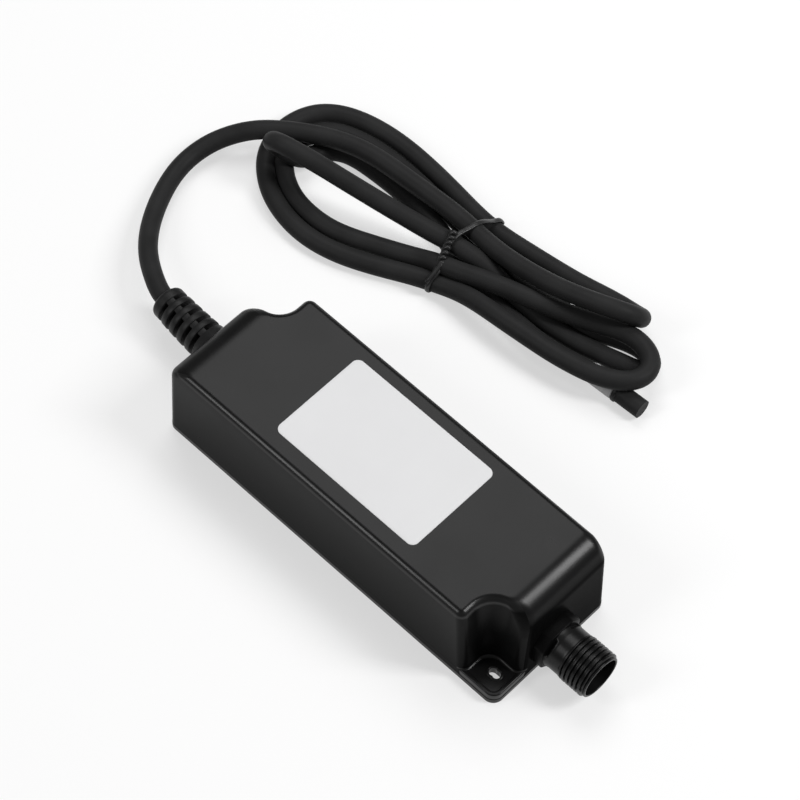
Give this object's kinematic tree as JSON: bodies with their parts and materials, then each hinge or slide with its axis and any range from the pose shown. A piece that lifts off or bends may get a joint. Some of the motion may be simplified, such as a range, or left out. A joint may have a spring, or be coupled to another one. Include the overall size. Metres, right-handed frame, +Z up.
{
  "type": "led driver",
  "caption": "Sealed black lamp supply: drafted, rounded plastic case with two scalloped fixing ears, a threaded round output socket, a ribbed strain relief and a tied mains lead.",
  "frame": {"origin": "centre of the case's footprint, on its underside", "axes": "+X along the case towards the output socket, +Z up from the underside to the label, +Y completes a right-handed frame, towards the side where the mains lead is laid"},
  "size_m": [0.25, 0.1472, 0.0389],
  "materials": {
    "case": "satin",
    "socket": "satin",
    "label": "satin",
    "sleeve": "matte",
    "cable": "satin",
    "band": "matte",
    "tie": "satin",
    "seal": "matte",
    "nut": "matte",
    "insert": "matte",
    "contacts": "polished",
    "board": "satin",
    "ceramic": "matte",
    "film": "gloss",
    "fuse_body": "matte",
    "thermistor_body": "matte",
    "ferrite": "matte",
    "magnet_wire": "satin",
    "moulded_body": "matte",
    "capacitor_sleeve": "satin",
    "heatsink": "matte",
    "bobbin": "matte",
    "coil_tape": "gloss",
    "white_body": "matte",
    "wire_brown": "satin",
    "wire_red": "satin",
    "resin": "matte"
  },
  "bodies": {
    "root": {"housing_shell": "case", "base_cover": "case", "rating_label": "label", "output_socket": "socket", "socket_seal": "seal", "lock_nut": "nut", "socket_insert": "insert", "socket_contacts": "contacts", "strain_relief": "sleeve", "cord_inner": "cable", "cord_lead": "cable", "cord_hank": "cable", "cord_tail": "cable", "cord_end_band": "band", "cord_end_ring": "tie", "twist_tie": "tie", "circuit_board": "board", "fuse": "fuse_body", "varistor": "ceramic", "thermistor": "thermistor_body", "x_capacitor": "film", "y_capacitor": "ceramic", "choke_core": "ferrite", "choke_windings": "magnet_wire", "bridge_rectifier": "moulded_body", "bulk_capacitor": "capacitor_sleeve", "switching_transistor": "moulded_body", "transistor_heatsink": "heatsink", "transformer_core": "ferrite", "transformer_bobbin": "bobbin", "transformer_winding": "coil_tape", "output_diode": "moulded_body", "diode_heatsink": "heatsink", "output_capacitors": "capacitor_sleeve", "controller_chip": "moulded_body", "optocoupler": "white_body", "input_leads": "wire_brown", "output_leads": "wire_red", "potting_compound": "resin"}
  },
  "joints": []
}
